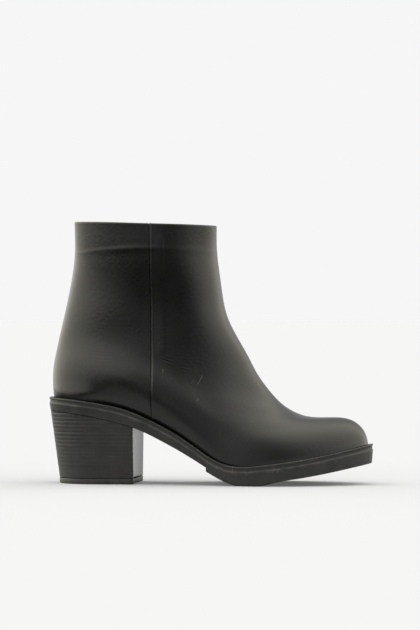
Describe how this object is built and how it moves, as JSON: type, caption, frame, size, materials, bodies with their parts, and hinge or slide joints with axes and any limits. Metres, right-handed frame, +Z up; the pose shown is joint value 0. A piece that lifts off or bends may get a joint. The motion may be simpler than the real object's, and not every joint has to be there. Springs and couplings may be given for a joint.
{
  "type": "heeled side-zip ankle boot",
  "caption": "Right-foot ankle boot: smooth leather upper with a raised outer seam and an inner side zip, stacked-look block heel and moulded rubber sole. A foot goes in at the collar.",
  "frame": {"origin": "on the floor, under the middle of the whole boot's box", "axes": "+X from heel to toe, +Y to the inner side of the right foot, +Z up"},
  "size_m": [0.2484, 0.0865, 0.1999],
  "materials": {
    "leather": "smooth satin black leather",
    "rubber": "dull black moulded rubber",
    "heel_stack": "black, finely ribbed like stacked leather",
    "sock": "matte dark lining leather",
    "tape": "woven black tape with a black coil",
    "zip_metal": "dark polished metal"
  },
  "bodies": {
    "boot": {"upper": "leather", "outsole": "rubber", "heel_block": "heel_stack", "top_lift": "rubber", "insole": "sock", "zip_tape": "tape", "zip_slider": "zip_metal"},
    "pull_tab": {"zip_pull_tab": "zip_metal"}
  },
  "joints": [
    {"name": "pull_tab_hinge", "type": "hinge", "parent": "boot", "child": "pull_tab", "pos_m": [-0.04199, 0.03596, 0.18828], "axis": [0.9994, -0.0321, 0.0123], "range_deg": [0, 165]}
  ]
}
